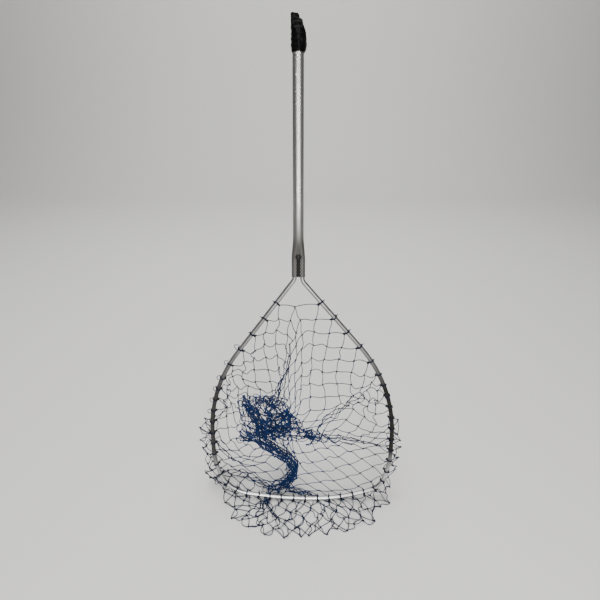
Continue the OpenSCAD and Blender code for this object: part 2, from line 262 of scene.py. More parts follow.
def tube_metal(name, tone, tarnish, roughness, streak):
    """Drawn tube: fine lines along it, cloudy tarnish, handling marks, and over them a darkening that is
    painted shade, and on the handle also a plain darkening towards the yoke.
    """
    m = Nodes(name, metallic=1.0, roughness=roughness)
    along = m.attribute("along")
    around = m.attribute("around")
    lines = m.noise(1.0, 4.0, m.combine(m.math("MULTIPLY", along, 6.0),
                                        m.math("MULTIPLY", around, 46.0), 0.0))
    cloud = m.noise(14.0, 5.0, roughness=0.62)
    marks = m.mask(m.noise(95.0, 6.0, roughness=0.7), 0.60, 0.70)
    colour = m.mix(m.mask(cloud, 0.35, 0.72), tone, tarnish)
    colour = m.mix(m.math("MULTIPLY", marks, 0.45), colour, tuple(0.45 * c for c in tarnish))
    # the 'darkening' attribute makes the tube darker and less shiny: painted shade, and on the handle
    # also darker towards the yoke
    darkening = m.attribute("darkening")
    colour = m.mix(darkening, colour, DARK_TONE)
    m.set("Base Color", colour)
    m.set("Metallic", m.math("SUBTRACT", 1.0, m.math("POWER", darkening, 3.0)))
    m.set("Specular IOR Level", m.math("SUBTRACT", 0.5, m.math("MULTIPLY", darkening, 0.42)))
    rough = m.math("ADD", m.spread(cloud, roughness - 0.07, roughness + 0.12),
                   m.math("MULTIPLY", m.math("ADD", lines, darkening), 0.12))
    m.set("Roughness", rough)
    m.bump(m.math("ADD", lines, m.math("MULTIPLY", marks, -0.6)), 0.0002, streak)
    return m.mat


def tape_material():
    """Black cloth tape with a slight, uneven shine."""
    m = Nodes("tape_black", roughness=0.4)
    m.set("Base Color", m.mix(m.noise(120.0), (0.0015, 0.0015, 0.0015), (0.004, 0.004, 0.004)))
    m.set("Roughness", m.spread(m.noise(60.0, 3.0), 0.22, 0.42))
    m.bump(m.noise(150.0, 3.0), 0.0008, 0.4)
    m.set("Specular IOR Level", 0.06)
    return m.mat


def plug_material():
    """Moulded black plastic."""
    m = Nodes("plug_black", roughness=0.55)
    m.set("Base Color", m.mix(m.noise(60.0), (0.02, 0.02, 0.02), (0.035, 0.035, 0.035)))
    m.bump(m.noise(1400.0), 0.0002, 0.5)
    return m.mat


def rivet_material(name, bright, dark):
    """A rivet head that handling has scuffed."""
    m = Nodes(name, metallic=1.0, roughness=0.35)
    m.set("Base Color", m.mix(m.noise(300.0, 4.0), bright, dark))
    m.set("Roughness", m.spread(m.noise(700.0), 0.3, 0.55))
    m.bump(m.noise(1200.0, 3.0), 0.0002, 0.6)
    return m.mat


# ---- Meshes ----

def make_piece(name, verts, quads, material, replaced, attributes=None):
    """A mesh object from arrays in the row's frame, riding the frame's one body."""
    verts = np.asarray(verts, np.float32)
    quads = np.asarray(quads, np.int32)
    mesh = bpy.data.meshes.new(name)
    mesh.vertices.add(len(verts))
    mesh.vertices.foreach_set("co", verts.ravel())
    mesh.loops.add(quads.size)
    mesh.loops.foreach_set("vertex_index", quads.ravel())
    mesh.polygons.add(len(quads))
    mesh.polygons.foreach_set("loop_start", np.arange(0, quads.size, 4, dtype=np.int32))
    mesh.polygons.foreach_set("use_smooth", np.ones(len(quads), bool))
    mesh.update(calc_edges=True)
    mesh.validate()
    for key, values in (attributes or {}).items():
        layer = mesh.attributes.new(key, "FLOAT", "POINT")
        layer.data.foreach_set("value", np.asarray(values, np.float32))
    mesh.materials.append(material)
    obj = bpy.data.objects.new(name, mesh)
    bpy.context.collection.objects.link(obj)
    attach(obj, "root")
    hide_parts(*replaced)


def grid_quads(rows, cols):
    """Quads of a grid of rows of cols points, closed round each row."""
    r, c = np.meshgrid(np.arange(rows - 1), np.arange(cols), indexing="ij")
    n = (c + 1) % cols
    quads = np.stack([r * cols + c, r * cols + n, (r + 1) * cols + n, (r + 1) * cols + c], -1)
    return quads.reshape(-1, 4)


def unit(v):
    """Vectors at length 1."""
    return v / np.maximum(np.linalg.norm(v, axis=-1, keepdims=True), 1e-9)


def tube_normals(paths):
    """Two crossing normals that don't twist along paths of shape (count, points, 3)."""
    tangent = unit(np.gradient(paths, axis=1))
    pick = np.where(np.abs(tangent[:, 0, 2:3]) < 0.8, [[0.0, 0.0, 1.0]], [[1.0, 0.0, 0.0]])
    normal = np.empty_like(paths)
    normal[:, 0] = unit(np.cross(tangent[:, 0], pick))
    for i in range(1, paths.shape[1]):
        before = normal[:, i - 1]
        along = (before * tangent[:, i]).sum(-1, keepdims=True)
        normal[:, i] = unit(before - along * tangent[:, i])
    return normal, np.cross(tangent, normal)


def tubes(paths, radius, sides, closed=False):
    """Vertices, quads and surface coordinates of tubes along many paths of equal point count.
    closed joins each tube's last ring to its first."""
    count, points, _ = paths.shape
    normal, side = tube_normals(paths)
    turn = 2 * math.pi * np.arange(sides) / sides
    ring = (normal[:, :, None] * np.cos(turn)[:, None] + side[:, :, None] * np.sin(turn)[:, None])
    radius = np.broadcast_to(radius, (count, points))
    verts = paths[:, :, None] + ring * radius[:, :, None, None]
    steps = np.linalg.norm(np.diff(paths, axis=1), axis=-1)
    along = np.concatenate([np.zeros((count, 1)), np.cumsum(steps, axis=1)], axis=1)
    along = np.broadcast_to(along[:, :, None], (count, points, sides)) * MM
    around = np.broadcast_to(np.arange(sides) / sides, (count, points, sides))
    quads = grid_quads(points, sides)
    if closed:
        k = np.arange(sides)
        last = (points - 1) * sides
        join = np.stack([last + k, last + (k + 1) % sides, (k + 1) % sides, k], -1)
        quads = np.concatenate([quads, join])
    quads = quads[None] + (np.arange(count) * points * sides)[:, None, None]
    return (verts.reshape(-1, 3), quads.reshape(-1, 4),
            {"along": along.ravel(), "around": around.ravel()})


def joined(parts):
    """Several (vertices, quads, attributes) as one."""
    verts, quads, attributes, first = [], [], {}, 0
    for v, q, a in parts:
        verts.append(v)
        quads.append(q + first)
        first += len(v)
        for key, values in a.items():
            attributes.setdefault(key, []).append(values)
    attributes = {key: np.concatenate(values) for key, values in attributes.items()}
    return np.concatenate(verts), np.concatenate(quads), attributes


# ---- The hoop's outline ----
# A half is (sign, reach, arm angle, bend radius, shoulder radius, side radius, side turn,
#            corner radius, bottom turn, run to the lowest point past the handle's axis)

LEG_X, LEG_SPLAY, LEG_LENGTH, BEND_HEIGHT = 9.4, math.radians(2.5), 80.0, 620.0
LEFT = (-1, 226, math.radians(37.4), 15, 366, 215, math.radians(22), 100, math.radians(10), 43)
RIGHT = (1, 246, math.radians(40.7), 24, 380, 250, math.radians(21), 59, math.radians(20), -43)


def stretches(half):
    """[length, first angle, last angle] of each stretch from the bend to the lowest point."""
    _, reach, arm, bend, shoulder, side, side_turn, corner, low_turn, run = half
    sin, cos, right = math.sin, math.cos, math.pi / 2
    arm_length = (reach - LEG_X - bend * (cos(LEG_SPLAY) - cos(arm))
                  - shoulder * (1 - cos(arm))) / sin(arm)
    low = (reach + run - side * (1 - cos(side_turn))
           - corner * (cos(side_turn) - sin(low_turn))) / sin(low_turn)
    side_height = (side * sin(side_turn) + corner * (cos(low_turn) - sin(side_turn))
                   + low * (1 - cos(low_turn)))
    shoulder_height = (BEND_HEIGHT - bend * (sin(arm) - sin(LEG_SPLAY)) - arm_length * cos(arm)
                       - shoulder * sin(arm))
    return [(bend * (arm - LEG_SPLAY), LEG_SPLAY, arm),
            (arm_length, arm, arm),
            (shoulder * arm, arm, 0.0),
            (shoulder_height - side_height, 0.0, 0.0),
            (side * side_turn, 0.0, -side_turn),
            (corner * (right - low_turn - side_turn), -side_turn, low_turn - right),
            (low * low_turn, low_turn - right, -right)]


def half_length(half):
    """The length of a half from the start of its bend to its lowest point."""
    return sum(s[0] for s in stretches(half))


def along_half(half, distance):
    """(outwards, height, direction of travel) at a distance from the start of the bend."""
    x, s = LEG_X, BEND_HEIGHT
    if distance < 0:
        return x + distance * math.sin(LEG_SPLAY), s - distance * math.cos(LEG_SPLAY), LEG_SPLAY
    for length, a, b in stretches(half):
        step = min(distance, length)
        turn = a + (b - a) * step / length
        if a == b:
            x, s = x + step * math.sin(a), s - step * math.cos(a)
        else:
            r = length / (b - a)
            x, s = x + r * (math.cos(a) - math.cos(turn)), s + r * (math.sin(a) - math.sin(turn))
        distance -= step
        if distance <= 0:
            break
    return x, s, turn


def hoop_line(step):
    """The whole centreline in net coordinates, from the left leg's end to the right leg's end."""
    points = []
    for half in (LEFT, RIGHT):
        total = half_length(half)
        count = int((total + LEG_LENGTH) / step)
        line = [along_half(half, d) for d in np.linspace(-LEG_LENGTH, total, count)]
        points.append([(half[0] * x, 0.0, s) for x, s, _ in line])
    return np.array(points[0] + points[1][-2::-1])


HOOP_SIDES = 28
# How dark painted shade makes each stretch of the hoop (bar, left side, right side, arms), standing in
# for the dark room the polished tube reflects
BAR_SHADE, LEFT_SHADE, RIGHT_SHADE, ARM_SHADE = 0.02, 0.94, 0.98, 0.42


def make_hoop(material):
    """The hoop's tube. Its sides are darkened with painted shade, the right one most, standing in for
    the dark room they reflect;
    the bottom bar is left bright and the arms only a little darker."""
    line = hoop_line(2.5)
    place = np.arange(len(line))
    drift = 0.12 * np.sin(place * 0.031) + 0.07 * np.sin(place * 0.113 + 1.0)
    verts, quads, attributes = tubes(from_net(line)[None], (HOOP_R + 0.35 * drift)[None], HOOP_SIDES)
    across, _, height = line.T
    side_shade = np.where(across > 0, RIGHT_SHADE, LEFT_SHADE)
    past_bar = np.clip((height - 70) / 80, 0, 1)
    on_arm = np.clip((height - 330) / 150, 0, 1)
    # painted shade: none on the bottom bar, darkest on the sides, less on the arms
    darkening = BAR_SHADE + side_shade * past_bar - (side_shade - ARM_SHADE) * on_arm
    attributes["darkening"] = np.repeat(darkening, HOOP_SIDES)
    make_piece("hoop", to_row(verts), quads, material, ["hoop_tube"], attributes)


# ---- Handle ----

HANDLE_R, HANDLE_WALL, HANDLE_TOP = 12.7, 1.25, 1148.0
YOKE_MOUTH, YOKE_FLAT, YOKE_TAPER, YOKE_WIDTH = 622.0, 40.0, 58.0, 32.7
YOKE_R = HOOP_R + HANDLE_WALL + 0.15
YOKE_TOP = YOKE_MOUTH + YOKE_FLAT + YOKE_TAPER
YOKE_LOBE = YOKE_WIDTH / 2 - YOKE_R
CREASE_DEPTH, CREASE_WIDTH, FLAT_SHARE = 0.42, 3.4, 0.35
RIVET_HEIGHT = YOKE_MOUTH + 48
# The dimple round the yoke rivet: half width, half height and depth
DIMPLE = (5.4, 4.8, 1.4)
DIAMONDS_ROUND, DIAMOND_PITCH, DIAMOND_DEPTH = 14, 8.3, 0.85
# Columns and rows of the mesh in one diamond
DIAMOND_COLS, DIAMOND_ROWS = 8, 12


def yoke_outline(s, inset, count):
    """The handle's section at height s, as count points evenly spaced along its length."""
    t = min(max((YOKE_TOP - s) / YOKE_TAPER, 0.0), 1.0)
    flat = t * t * (3 - 2 * t)
    a = np.linspace(0, 2 * math.pi, 721)
    c = np.cos(a)
    between = np.clip(c / FLAT_SHARE, -1, 1)
    lobe = np.sign(c) * np.maximum(np.abs(c) - FLAT_SHARE, 0) / (1 - FLAT_SHARE)
    r = YOKE_R - inset
    x = r * lobe + YOKE_LOBE * between
    waist = 1 - CREASE_DEPTH * np.exp(-(x / CREASE_WIDTH) ** 2)
    y = np.sign(np.sin(a)) * r * np.sqrt(np.maximum(1 - lobe ** 2, 0)) * waist
    x = flat * x + (1 - flat) * (HANDLE_R - inset) * c
    y = flat * y + (1 - flat) * (HANDLE_R - inset) * np.sin(a)
    run = np.concatenate([[0], np.cumsum(np.hypot(np.diff(x), np.diff(y)))])
    even = np.linspace(0, run[-1], count + 1)[:-1]
    return np.stack([np.interp(even, run, x), np.interp(even, run, y)], -1)


def make_handle(material):
    """The handle's tube: diamond pillows pressed all over it, the yoke's crease with the rivet's dimple,
    painted shade in the crease, the dimple, the grooves and inside the mouth, and darker towards the
    yoke."""
    cols = DIAMONDS_ROUND * DIAMOND_COLS
    heights = np.arange(YOKE_MOUTH, HANDLE_TOP, DIAMOND_PITCH / DIAMOND_ROWS)
    share = np.arange(cols) / cols
    wide, tall, deep = DIMPLE
    rings, darkening = [], []
    # the inside wall of the mouth, from 34 mm up it down to its edge, darkened as painted shade
    for s in np.linspace(YOKE_MOUTH + 34, YOKE_MOUTH + 0.4, 20):
        rings.append(np.column_stack([yoke_outline(s, HANDLE_WALL, cols), np.full(cols, s)]))
        darkening.append(np.full(cols, 0.8))
    for s in heights:
        ring = yoke_outline(s, 0.0, cols)
        outward = np.roll(ring, -1, 0) - np.roll(ring, 1, 0)
        outward = unit(np.stack([outward[:, 1], -outward[:, 0]], -1))
        u, v = share * DIAMONDS_ROUND, s / DIAMOND_PITCH
        a = 2 * np.abs((u + v) % 1 - 0.5)
        b = 2 * np.abs((u - v) % 1 - 0.5)
        pillow = np.sqrt(np.clip((1 - a ** 2) * (1 - b ** 2), 0, 1))
        edge = min(1.0, (s - YOKE_MOUTH) / 3)
        spot = np.exp(-((ring[:, 0] / wide) ** 2 + ((s - RIVET_HEIGHT) / tall) ** 2) ** 1.5)
        ring = ring + outward * (DIAMOND_DEPTH * (pillow - 1) * edge - deep * spot)[:, None]
        # painted shade in the yoke's crease; the dimple's spot is painted shade too
        crease = np.exp(-(ring[:, 0] / 3.0) ** 4) * np.clip((YOKE_MOUTH + 50 - s) / 6, 0, 1)
        # darker towards the yoke, below 800 mm
        low = 0.74 * np.clip((800 - s) / 100, 0, 1) ** 1.3
        rings.append(np.column_stack([ring, np.full(cols, s)]))
        # painted shade in the crease, the dimple and the grooves between the diamonds, plus the
        # darkening towards the yoke
        darkening.append(np.clip(low + crease + spot + 0.40 * (1 - pillow), 0, 1))
    points = np.array(rings)
    attributes = {"darkening": np.array(darkening).ravel(),
                  "along": np.repeat(points[:, 0, 2] * MM, cols),
                  "around": np.tile(share, len(points))}
    verts = to_row(from_net(points.reshape(-1, 3)))
    make_piece("handle", verts, grid_quads(len(points), cols), material,
               ["handle_tube"], attributes)


def dome(radius, height, rim):
    """A rivet head's points about its own axis: a flat seat, a short rim and a dome."""
    rings, cols = 7, 28
    profile = [(0.0, 0.0), (radius, 0.0), (radius, rim)]
    for i in range(1, rings + 1):
        turn = math.pi / 2 * i / rings
        profile.append((radius * math.cos(turn), rim + (height - rim) * math.sin(turn)))
    turn = 2 * math.pi * np.arange(cols) / cols
    points = np.array([[(r * math.cos(a), z, r * math.sin(a)) for a in turn] for r, z in profile])
    return points.reshape(-1, 3), grid_quads(len(profile), cols)


def make_yoke_rivet(material):
    """The rivet's two heads, front and back, which sit in the crease."""
    parts = []
    reach = YOKE_R * (1 - CREASE_DEPTH) + 0.2
    for side in (-1, 1):
        points, quads = dome(radius=3.5, height=2.2, rim=1.2)
        points = points * [1, side, 1] + [0, side * reach, RIVET_HEIGHT]
        parts.append((points, quads[:, ::side], {}))
    verts, quads, _ = joined(parts)
    make_piece("yoke_rivet_heads", to_row(from_net(verts)), quads, material,
               ["yoke_rivet"])


# Where the plug's rivet is: across, and up along the handle
PLUG_RIVET_X, PLUG_RIVET_HEIGHT = -3.6, 1062


def make_plug_rivet(material):
    """The small rivet head on the front of the handle, just below the tape."""
    points, quads = dome(radius=2.7, height=1.1, rim=0.3)
    points = points * [1, -1, 1] + [PLUG_RIVET_X, -(HANDLE_R - 0.55), PLUG_RIVET_HEIGHT]
    make_piece("plug_rivet_head", to_row(from_net(points)), quads[:, ::-1], material,
               ["butt_plug_rivet"])


# ---- Taped butt ----
# The tape's outline: height along the handle, left edge, right edge, half depth
TAPE = np.array([(1107, -12.9, 14.0, 13.4), (1108, -13.4, 14.6, 13.9), (1112, -14.4, 16.2, 14.6),
                 (1118, -15.2, 17.8, 15.8), (1130, -14.8, 17.2, 15.8), (1144, -14.6, 16.2, 15.0),
                 (1151, -15.0, 14.6, 14.4), (1157, -15.2, 12.0, 12.4), (1163, -15.2, 9.6, 10.4),
                 (1170, -15.2, 7.6, 7.6), (1172, -15.2, 3.0, 6.0),
                 (1178, -14.9, -0.4, 4.6), (1182, -14.0, -3.2, 3.0)])
TAPE_PITCH = 11.0
TAPE_START = TAPE[0, 0]
# Height at which the tape starts to be pinched flat, and how far left its closed end leans
PINCH_START, PINCH_LEAN = 1150, 8.4


def make_tape(material):
    """Tape wound round the butt, wrinkled, with its end pinched flat over the top."""
    cols, rows = 120, 150
    heights = np.linspace(TAPE[0, 0], TAPE[-1, 0], rows)
    turn = 2 * math.pi * np.arange(cols) / cols
    left, right, deep = (np.interp(heights, TAPE[:, 0], TAPE[:, i])[:, None] for i in (1, 2, 3))
    s = heights[:, None]
    top = np.clip((s - PINCH_START) / 30, 0, 1)
    # each turn of tape overlaps the one below it and ends in a small step
    wind = ((s - TAPE_START) / TAPE_PITCH + turn / (2 * math.pi)) % 1
    step = 0.55 * np.minimum(wind, (1 - wind) * 9) * (1 - 0.7 * top)
    pleats = 1.2 * np.sin(7 * turn + s * 0.13) + 0.6 * np.sin(13 * turn - s * 0.10 + 2)
    creases = np.sin(3 * turn + s * 0.34) * np.sin(5 * turn - s * 0.21 + 1)
    creases = creases + 0.8 * (1 - np.abs(np.sin(2 * turn + s * 0.085 + 0.6))) ** 3
    near_edge = np.clip((s - TAPE_START) / 6, 0, 1)
    push = step + (pleats * (0.22 + 0.75 * top) + 0.6 * creases) * near_edge
    mid, half = (left + right) / 2, (right - left) / 2
    power = 1 - 0.25 * top
    c, d = np.cos(turn), np.sin(turn)
    x = mid + (half + push) * np.sign(c) * np.abs(c) ** power
    y = (deep + push) * np.sign(d) * np.abs(d) ** power + 2.0 * top * np.sin(c * 3)
    s = s + top * 1.2 * np.sin(4 * turn + 1) * np.clip((1181 - s) / 8, 0, 1)
    points = np.stack([x, y, s + 0 * x], -1)
    # the lower edge turns in under the tape, and the pinched end closes
    seat = HANDLE_R + 0.05
    inner = points[:1] * [0.0, 0.0, 1.0] + np.stack([seat * c, seat * d, 0 * c], -1)[None]
    cap = [points[-1:] * [1 - f, 1 - f, 1] + np.array([-PINCH_LEAN, 0, 0]) * f + [0, 0, 0.6 * f]
           for f in (0.5, 0.97)]
    points = np.concatenate([inner, points, *cap])
    make_piece("butt_tape", to_row(from_net(points.reshape(-1, 3))), grid_quads(len(points), cols),
               material, ["butt_tape_wrap", "butt_tape_fold"])


# ---- Hitches round the hoop ----

FIRST_HITCH, ARM_PITCH, ARM_HITCHES, SHOULDER_HITCH, HITCH_PITCH = 78.0, 50.0, 5, 320.0, 32.0
ARM_END, SIDE_END = 300.0, 640.0
KNOT_OFF = 9.3


def hitches():
    """Each hitch as (sign, distance, outwards, height, direction), from the left arm's first one
    down, along the bottom and up to the right arm's first one."""
    found = []
    for half in (LEFT, RIGHT):
        places = [FIRST_HITCH + ARM_PITCH * i for i in range(ARM_HITCHES)]
        places += list(np.arange(SHOULDER_HITCH, half_length(half), HITCH_PITCH))
        found.append([(half[0], d, *along_half(half, d)) for d in places])
    return found[0] + found[1][::-1]


def net_direction(x, back, up):
    """A direction in net coordinates as one in floor coordinates."""
    return from_net([x, back, up]) - from_net([0, 0, 0])


def hitch_axes(hitch):
    """A hitch's centre, the hoop's direction there, and the direction its knot lies in (floor)."""
    sign, distance, x, s, turn = hitch
    centre = from_net([sign * x, 0, s])
    travel = net_direction(sign * math.sin(turn), 0, -math.cos(turn))
    inward = net_direction(-sign * math.cos(turn), 0, -math.sin(turn))
    back = net_direction(0, 1, 0)
    if distance < ARM_END:
        knot = inward + 0.2 * back
    elif distance < SIDE_END:
        knot = inward + 0.8 * back
    else:
        knot = np.array([0, -1, -0.35])
    knot = knot - (knot @ travel) * travel
    return centre, travel, unit(knot)


HITCHES = hitches()
COLUMNS = len(HITCHES)
AXES = [hitch_axes(h) for h in HITCHES]
PINS = np.array([centre + KNOT_OFF * knot for centre, _, knot in AXES])


def knot_line(count):
    """A small overhand knot's closed line, about 3 across, in its own axes."""
    t = 2 * math.pi * np.arange(count) / count
    return np.stack([np.sin(t) + 2 * np.sin(2 * t), np.cos(t) - 2 * np.cos(2 * t),
                     -1.15 * np.sin(3 * t)], -1)


KNOT_POINTS, KNOT_SIDES = 18, 5


def knots(places, size, rng, points=KNOT_POINTS, sides=KNOT_SIDES):
    """Knots of twine at places, each turned its own way."""
    line = knot_line(points)
    turns = rng.normal(size=(len(places), 4))
    turns /= np.linalg.norm(turns, axis=1, keepdims=True)
    w, x, y, z = turns.T
    spin = np.stack([1 - 2 * (y * y + z * z), 2 * (x * y - w * z), 2 * (x * z + w * y),
                     2 * (x * y + w * z), 1 - 2 * (x * x + z * z), 2 * (y * z - w * x),
                     2 * (x * z - w * y), 2 * (y * z + w * x), 1 - 2 * (x * x + y * y)], -1)
    lines = places[:, None] + size * np.einsum("nij,pj->npi", spin.reshape(-1, 3, 3), line)
    return tubes(lines, TWINE_R * 0.95 * size ** 0.5, sides, closed=True)


def make_hitches(material):
    """Two turns of twine, a knot and a loose end for each hitch, one piece for each stretch."""
    rng = np.random.default_rng(3)
    groups = {}
    for hitch, (centre, travel, knot) in zip(HITCHES, AXES):
        side = "left" if hitch[0] < 0 else "right"
        if hitch[1] < SIDE_END:
            stretch = f"{side}_arm" if hitch[1] < ARM_END else f"{side}_side"
        else:
            stretch = f"bottom_{side}"
        across = np.cross(travel, knot)
        turns = np.linspace(0.0, 4 * math.pi, 41)
        reach = HOOP_R + TWINE_R + 0.1 + 0.15 * np.sin(3 * turns)
        skew = rng.uniform(-2.6, 2.6)
        run = np.linspace(-1.9, 1.9, len(turns)) + skew * np.sin(turns)
        out = np.cos(turns)[:, None] * knot + np.sin(turns)[:, None] * across
        wrap = centre + reach[:, None] * out + run[:, None] * travel
        place = centre + KNOT_OFF * knot
        wrap = np.concatenate([[place + 0.4 * travel], wrap, [place - 0.4 * travel]])
        parts = groups.setdefault(stretch, [])
        parts.append(tubes(wrap[None], TWINE_R, 7))
        parts.append(knots(place[None], 1.15, rng, 24, 7))
        parts.append(tubes(loose_end(hitch, centre, travel, knot, rng)[None], TWINE_R * 0.92, 7))
    for stretch, parts in groups.items():
        verts, quads, attributes = joined(parts)
        make_piece(f"twine_hitches_{stretch}", to_row(verts), quads, material,
                   [f"rim_hitches_{stretch}"], attributes)


def loose_end(hitch, centre, travel, knot, rng):
    """The short end that stands off the outside of a hitch: a stub, or on the left arm a loop."""
    t = np.linspace(0, 1, 13)[:, None]
    out = -knot if hitch[1] < SIDE_END else np.array([0, 0.75, 0.66])
    out = unit(out - (out @ travel) * travel)
    start = centre + (HOOP_R + TWINE_R) * out
    if hitch[0] < 0 and 200 < hitch[1] < 420:
        bend = rng.uniform(0.8, 1.2)
        return (start + 9.5 * bend * np.sin(math.pi * t) * out + 13 * (t - 0.5) * travel
                + 2.5 * np.sin(2 * math.pi * t) * np.cross(travel, out))
    length = rng.uniform(2.5, 6.5)
    lean = rng.uniform(-1, 1, 3)
    aside = 2.2 * lean[0] * travel + 1.5 * lean[1] * np.cross(travel, out)
    return start + length * t * out + t ** 2 * aside


# ---- The bag's drape ----
# The bag is COLUMNS meshes round and BAG_ROWS rows of knots deep. Each column starts at a hitch.
# A column's way lists where some of its rows are drawn to all the while that the bag settles,
# and how strongly. Against that the bars pull tight, the bag sags, and it rests on the floor.

BAG_ROWS = 18
BAR = 38.0
FLOOR_CLEAR = 3.0
# How wide and how tall a mesh holds itself open
MESH_ACROSS, MESH_DOWN = 28.0, 30.0
# The knot of the first mesh, which hangs open under the yoke between the two arms
APEX_KNOT = (12, 106, 536)
# Two columns have parted where they are farther apart than this
PARTED = 60
# The gathered netting, from the bunch behind the mouth over the clump's top, round its left side
# and down the rope to the floor behind the bottom bar: (x, back, up, radius)
GATHER = np.array([(60, 68, 172, 9), (20, 70, 188, 12), (-20, 76, 218, 26), (-66, 82, 244, 50),
                   (-108, 82, 234, 54), (-130, 78, 200, 44), (-136, 70, 162, 34), (-108, 62, 136, 28),
                   (-58, 54, 132, 25), (-12, 48, 114, 23), (3, 42, 84, 22), (-16, 34, 52, 18),
                   (-50, 28, 30, 15), (-72, 20, 18, 11), (-80, 14, 12, 9)], float)
# Stations from here on are in the rope, and the ones before it are in the clump
ROPE_START = 7
# How far along the gathered netting each part of the bag lies: for these rows, a line for each
# of these columns, counted in the stations above. Columns between them lie between.
STATION_ROWS = (8, 10, 12, 14, 16)
STATIONS = {
    0: (2.8, 3.3, 3.8, 4.2, 4.4),
    4: (3.6, 4.2, 4.8, 5.0, 4.8),
    6: (4.6, 5.2, 5.6, 5.4, 5.0),
    8: (5.8, 6.4, 6.6, 6.2, 5.4),
    10: (7.2, 7.8, 7.8, 7.0, 5.8),
    13: (14, 12.4, 10.6, 8.8, 7.0),
    17: (14, 12.9, 10.9, 9.0, 7.3),
    23: (14, 12.9, 10.9, 9.0, 7.3),
    28: (14, 13.4, 11.6, 9.6, 7.6),
    31: (0.1, 0.4, 0.9, 1.9, 3.7),
    36: (0.0, 0.3, 0.8, 1.7, 3.1),
    40: (0.9, 1.5, 2.4, 3.2, 3.8),
    44: (2.4, 2.9, 3.4, 3.9, 4.2),
}
FRONT_BUNCH = np.array([-94.0, -22.0, 7.0])
# The edge of the netting that lies on the floor in front of the bar, from left to right
APRON = np.array([(-228, -12), (-186, -53), (-122, -89), (-57, -109), (-11, -122), (54, -124),
                  (96, -126), (132, -118), (181, -92), (218, -83), (254, -47), (285, 10)], float)
APRON_HEIGHT = 5.0
# How far a row of the open netting drops below the row above it
CURTAIN_DROP = 36


def apron_edge(share):
    """The point share of the way along the apron's edge."""
    run = np.concatenate([[0], np.cumsum(np.linalg.norm(np.diff(APRON, axis=0), axis=1))])
    x = np.interp(share * run[-1], run, APRON[:, 0])
    y = np.interp(share * run[-1], run, APRON[:, 1])
    return np.array([x, y, APRON_HEIGHT])


def curtain(column, row):
    """Where a knot of the open netting above the clump hangs, for an even row: below the hitch
    its line of bars drops from, or below the apex, where the two sides meet in a fold."""
    if column < COLUMNS / 2:
        hitch = column - row // 2
        if hitch < 0:
            x, y, z = (-31 - 11 * (hitch + 1), 110, 584 - 18 * (hitch + 1))
        else:
            x, y, z = PINS[hitch] + (-12 if hitch < 5 else 0, 0, 0)
            if hitch < 2:
                x += 3.0 * (row - 2) ** 2
            x = min(x, -34)
    else:
        hitch = COLUMNS - 1 - column - row // 2
        if hitch < 0:
            x, y, z = (30 + 28 * (hitch + 1) - 4 * (row - 2), 110, 586)
        else:
            x, y, z = PINS[COLUMNS - 1 - hitch] - (0.24 * CURTAIN_DROP * (row - 1), 0, 0)
    y = min(y + 17 * row, 132) if 4 < column < 9 else max(96.0, y) - 1.5 * row
    return np.array([x, y, z + 20 - CURTAIN_DROP * row])


def clump_place(column, row):
    """A place in the clump: the netting weaves over its width and height, and turns row by row."""
    turn = 2 * math.pi * column / COLUMNS + 0.12 * (row - 12)
    across, up = math.sin(3 * turn + 0.4), math.sin(4 * turn + 2.2)
    return np.array([-98 + 78 * across + 14 * across ** 2, 82 + 22 * math.cos(5 * turn),
                     226 + 10 * across + (76 - 16 * across) * up])


def gather_way(column, rng, first):
    """A column's way along the gathered netting, from the first row that is in it. In the rope it
    keeps a seat of its own in the round section, near its neighbours', and turns slowly as it
    goes. In the clump it leaves its seat, row by row, for its place in the weave."""
    centre, radius = GATHER[:, :3], GATHER[:, 3]
    direction = unit(np.gradient(centre, axis=0))
    angle = 2 * math.pi * column / COLUMNS
    seat = 0.85 * np.array([math.sin(4 * angle + 0.5), math.sin(7 * angle)])
    known = sorted(STATIONS)
    places = [np.interp(column, known, [STATIONS[k][i] for k in known])
              for i in range(len(STATION_ROWS))]
    settle = 12.5 if 28 < column < 40 else 9.5
    way = []
    for row in np.arange(first, BAG_ROWS - 1.4, 1.0):
        station = np.interp(row, STATION_ROWS, places)
        at, r, along = (np.array([np.interp(station, np.arange(len(centre)), line) for line in lines])
                        for lines in (centre.T, [radius], direction.T))
        e1 = unit(np.cross(along, [0, 1, 0.3]))
        e2 = np.cross(along, e1) * (1, 0.6, 1)
        turn = 0.45 * station
        u = seat[0] * math.cos(turn) - seat[1] * math.sin(turn)
        v = seat[0] * math.sin(turn) + seat[1] * math.cos(turn)
        at = at + r * (u * e1 + v * e2)
        if station < ROPE_START:
            share = 0.9 * min(max((row - settle) / 2.5, 0), 1)
            at = (1 - share) * at + share * clump_place(column, row) + rng.normal(size=3) * (15, 6, 15)
            way.append((row, at, 0.36))
        else:
            way.append((row, at + 0.4 * rng.normal(size=3) * (9, 5, 9), 0.3))
    closed = clump_place(column, BAG_ROWS)
    if 13 <= column <= 28:
        closed = np.array([-134, 76, 222]) + 0.75 * (closed - (-88, 82, 226))
    return way + [(BAG_ROWS, closed + rng.normal(size=3) * (13, 5, 13), 0.34)]


